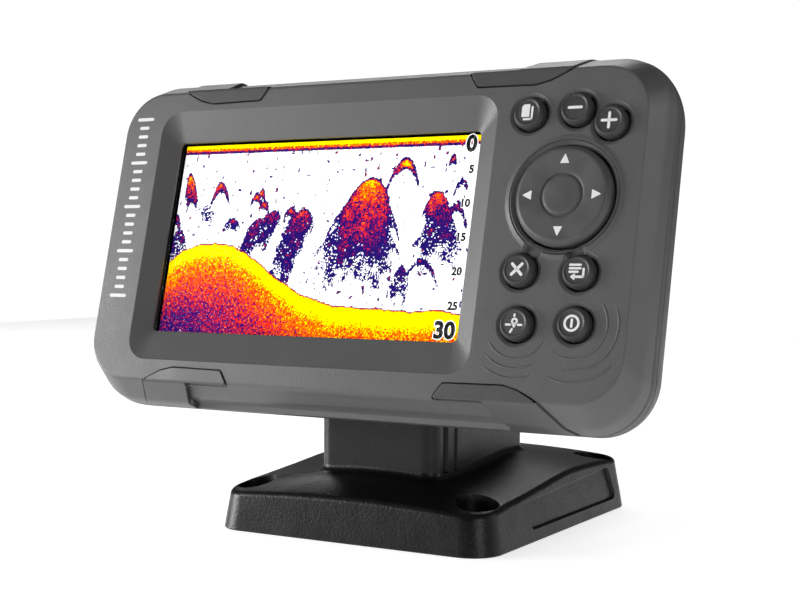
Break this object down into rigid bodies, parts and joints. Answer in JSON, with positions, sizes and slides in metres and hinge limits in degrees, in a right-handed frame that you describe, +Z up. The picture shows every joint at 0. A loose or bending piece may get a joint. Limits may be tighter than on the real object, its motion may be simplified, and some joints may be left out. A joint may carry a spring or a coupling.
{
  "type": "fish finder",
  "caption": "Wide sonar display with keypad and rocker pad, on a tilting stand with a screw-down base and a slide-off head.",
  "frame": {"origin": "centre of the base's underside, on the surface that it stands on", "axes": "+X to the right of someone facing the screen, +Y from the screen to the back, +Z up"},
  "size_m": [0.165, 0.1047, 0.1244],
  "materials": {
    "stand_plastic": "satin moulded grain",
    "foot_rubber": "matt",
    "steel": "turned",
    "washer_nylon": "smooth",
    "housing": "fine moulded grain",
    "rear_housing": "fine moulded grain",
    "accent": "satin",
    "seal_rubber": "matt",
    "lens_glass": "coated",
    "panel_glass": "lit display",
    "backlight_metal": "pressed",
    "circuit_board": "solder mask",
    "tin_plate": "tinned",
    "ceramic": "fired",
    "component_black": "matt",
    "copper_winding": "enamelled",
    "capacitor_can": "drawn",
    "brass_post": "turned",
    "key_rubber": "matt coated",
    "ribbon_film": "film",
    "gold_contact": "plated"
  },
  "bodies": {
    "stand": {"bracket_base": "stand_plastic", "foot_pad": "foot_rubber", "tilt_screw": "steel", "tilt_nut": "steel", "tilt_washers": "washer_nylon"},
    "head": {"tilt_head": "stand_plastic"},
    "plunger": {"release_plunger": "steel"},
    "display": {"front_bezel": "housing", "rear_case": "rear_housing", "top_left_insert": "accent", "top_right_insert": "accent", "bottom_left_insert": "accent", "bottom_right_insert": "accent", "case_seal": "seal_rubber", "case_screws": "steel", "screen_lens": "lens_glass", "screen_gasket": "seal_rubber", "lcd_panel": "panel_glass", "backlight": "backlight_metal", "main_board": "circuit_board", "shield_can": "tin_plate", "gps_antenna": "ceramic", "buzzer": "component_black", "sonar_transformer": "copper_winding", "board_chips": "component_black", "capacitors": "capacitor_can", "board_standoffs": "brass_post", "keypad_mat": "key_rubber", "keypad_board": "circuit_board", "keypad_ribbon": "ribbon_film", "key_domes": "tin_plate", "socket_collar": "rear_housing", "socket_core": "component_black", "socket_pins": "gold_contact", "vent_plug": "seal_rubber"},
    "key_pages": {"key_pages": "key_rubber"},
    "key_minus": {"key_minus": "key_rubber"},
    "key_plus": {"key_plus": "key_rubber"},
    "key_cancel": {"key_cancel": "key_rubber"},
    "key_menu": {"key_menu": "key_rubber"},
    "key_mark": {"key_mark": "key_rubber"},
    "key_power": {"key_power": "key_rubber"},
    "rocker": {"pad_rocker": "component_black"},
    "pad": {"pad_cap": "key_rubber"}
  },
  "joints": [
    {"name": "tilt", "type": "hinge", "parent": "stand", "child": "head", "pos_m": [0, -0.0161, 0.044], "axis": [-1, 0, 0], "range_deg": [-14, 26]},
    {"name": "lift_off", "type": "slide", "parent": "head", "child": "display", "axis": [0, 0.2419, 0.9703], "range_m": [0, 0.03]},
    {"name": "plunger_pull", "type": "slide", "parent": "head", "child": "plunger", "axis": [0, 0.9703, -0.2419], "range_m": [0, 0.0022], "stiffness_N_per_m": 400, "springref_m": -0.003},
    {"name": "key_pages_press", "type": "slide", "parent": "display", "child": "key_pages", "axis": [0, 0.9703, -0.2419], "range_m": [0, 0.001], "stiffness_N_per_m": 1500, "springref_m": -0.0004},
    {"name": "key_minus_press", "type": "slide", "parent": "display", "child": "key_minus", "axis": [0, 0.9703, -0.2419], "range_m": [0, 0.001], "stiffness_N_per_m": 1500, "springref_m": -0.0004},
    {"name": "key_plus_press", "type": "slide", "parent": "display", "child": "key_plus", "axis": [0, 0.9703, -0.2419], "range_m": [0, 0.001], "stiffness_N_per_m": 1500, "springref_m": -0.0004},
    {"name": "key_cancel_press", "type": "slide", "parent": "display", "child": "key_cancel", "axis": [0, 0.9703, -0.2419], "range_m": [0, 0.001], "stiffness_N_per_m": 1500, "springref_m": -0.0004},
    {"name": "key_menu_press", "type": "slide", "parent": "display", "child": "key_menu", "axis": [0, 0.9703, -0.2419], "range_m": [0, 0.001], "stiffness_N_per_m": 1500, "springref_m": -0.0004},
    {"name": "key_mark_press", "type": "slide", "parent": "display", "child": "key_mark", "axis": [0, 0.9703, -0.2419], "range_m": [0, 0.001], "stiffness_N_per_m": 1500, "springref_m": -0.0004},
    {"name": "key_power_press", "type": "slide", "parent": "display", "child": "key_power", "axis": [0, 0.9703, -0.2419], "range_m": [0, 0.001], "stiffness_N_per_m": 1500, "springref_m": -0.0004},
    {"name": "pad_up_down", "type": "hinge", "parent": "display", "child": "rocker", "pos_m": [0.0607, -0.03881, 0.08825], "axis": [1, 0, 0], "range_deg": [-2.5, 2.5], "stiffness_Nm_per_rad": 0.8},
    {"name": "pad_left_right", "type": "hinge", "parent": "rocker", "child": "pad", "pos_m": [0.0607, -0.03881, 0.08825], "axis": [0, 0.2419, 0.9703], "range_deg": [-2.5, 2.5], "stiffness_Nm_per_rad": 0.8}
  ]
}
